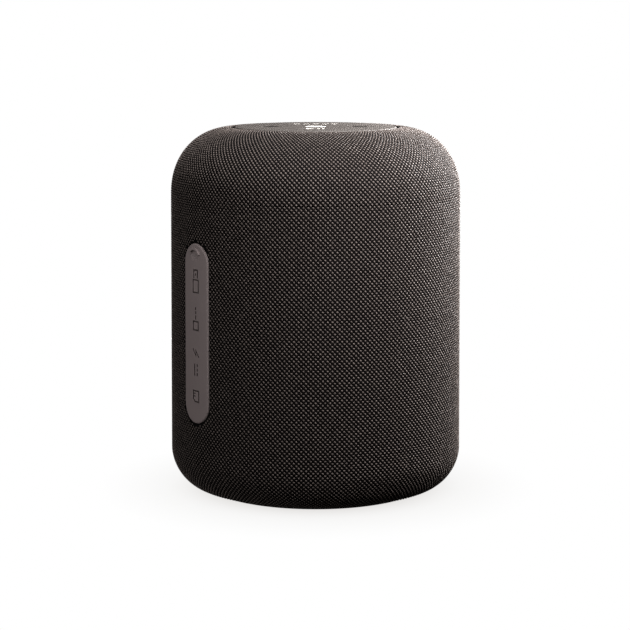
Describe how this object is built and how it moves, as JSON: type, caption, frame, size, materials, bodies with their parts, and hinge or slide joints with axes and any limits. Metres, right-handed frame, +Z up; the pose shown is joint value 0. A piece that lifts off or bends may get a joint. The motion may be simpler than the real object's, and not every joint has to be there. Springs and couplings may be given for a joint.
{
  "type": "smart speaker",
  "caption": "Upright cloth-covered portable speaker with a rounded top, a round control panel of press keys on top and a hinged rubber cover over the side ports.",
  "frame": {"origin": "centre of the resting face under the foot ring", "axes": "+Z up along the drum's axis, -Y the front that the control marks read upright from"},
  "size_m": [0.1, 0.1, 0.126],
  "materials": {
    "speaker_cloth": "open-weave polyester speaker cloth, dark with small warm-grey nubs",
    "taupe_plastic": "satin taupe plastic",
    "taupe_rubber": "soft matt taupe silicone rubber",
    "white_lens": "white light-passing plastic",
    "black_plastic": "fine-textured black plastic",
    "black_rubber": "matt black rubber",
    "circuit_board": "green solder mask",
    "plated_steel": "plated steel",
    "ferrite": "sintered ferrite",
    "copper": "enamelled copper wire",
    "cone_paper": "pressed dark paper",
    "cell_wrap": "heat-shrunk film",
    "wire_jacket": "wire insulation"
  },
  "bodies": {
    "housing": {"amplifier_chip": "black_plastic", "aux_jack": "black_plastic", "baffle_plate": "black_plastic", "base_plate": "black_plastic", "base_screw_1": "plated_steel", "base_screw_2": "plated_steel", "base_screw_3": "plated_steel", "base_screw_4": "plated_steel", "battery_cell_1": "cell_wrap", "battery_cell_2": "cell_wrap", "battery_tray": "black_plastic", "body_cloth": "speaker_cloth", "bottom_cap": "black_plastic", "bottom_cloth": "speaker_cloth", "card_socket": "plated_steel", "chamber_cup": "black_plastic", "charge_socket": "plated_steel", "control_panel": "taupe_plastic", "cover_strap": "taupe_rubber", "diffuser": "black_plastic", "driver_basket": "plated_steel", "driver_lead": "wire_jacket", "driver_magnet": "ferrite", "driver_spider": "cone_paper", "driver_surround": "black_rubber", "driver_top_plate": "plated_steel", "driver_yoke": "plated_steel", "foot_ring": "black_rubber", "grille_tube": "black_plastic", "key_board": "circuit_board", "key_lead": "wire_jacket", "light_bar": "white_lens", "light_bar_leds": "white_lens", "main_board": "circuit_board", "minus_switch": "plated_steel", "passive_frame": "black_plastic", "passive_surround": "black_rubber", "play_switch": "plated_steel", "plus_switch": "plated_steel", "port_bezel": "black_plastic", "port_board": "circuit_board", "post_screw_1": "plated_steel", "post_screw_2": "plated_steel", "post_screw_3": "plated_steel", "power_switch": "plated_steel", "radio_module": "black_plastic", "top_cloth": "speaker_cloth", "top_shell": "black_plastic", "usb_socket": "plated_steel"},
    "power_key": {"power_key": "white_lens"},
    "plus_key": {"plus_key": "taupe_plastic"},
    "minus_key": {"minus_key": "taupe_plastic"},
    "play_key": {"play_key": "taupe_plastic"},
    "port_cover": {"port_cover": "taupe_rubber"},
    "driver_cone": {"driver_cone": "cone_paper", "voice_coil": "copper", "dust_cap": "cone_paper"},
    "passive_plate": {"passive_plate": "plated_steel"}
  },
  "joints": [
    {"name": "power_press", "type": "slide", "parent": "housing", "child": "power_key", "axis": [0, 0, -1], "range_m": [0, 0.0004], "stiffness_N_per_m": 400},
    {"name": "plus_press", "type": "slide", "parent": "housing", "child": "plus_key", "axis": [0, 0, -1], "range_m": [0, 0.0004], "stiffness_N_per_m": 400},
    {"name": "minus_press", "type": "slide", "parent": "housing", "child": "minus_key", "axis": [0, 0, -1], "range_m": [0, 0.0004], "stiffness_N_per_m": 400},
    {"name": "play_press", "type": "slide", "parent": "housing", "child": "play_key", "axis": [0, 0, -1], "range_m": [0, 0.0004], "stiffness_N_per_m": 400},
    {"name": "cover_swing", "type": "hinge", "parent": "housing", "child": "port_cover", "pos_m": [-0.04009, -0.03021, 0.0276], "axis": [0.6018, -0.7986, 0], "range_deg": [0, 110]},
    {"name": "driver_stroke", "type": "slide", "parent": "housing", "child": "driver_cone", "axis": [0, 0, 1], "range_m": [-0.002, 0.002], "stiffness_N_per_m": 1000, "deforming": ["driver_surround", "driver_spider"]},
    {"name": "passive_stroke", "type": "slide", "parent": "housing", "child": "passive_plate", "axis": [0, 0, 1], "range_m": [-0.0025, 0.0025], "stiffness_N_per_m": 1000, "deforming": ["passive_surround"]}
  ]
}
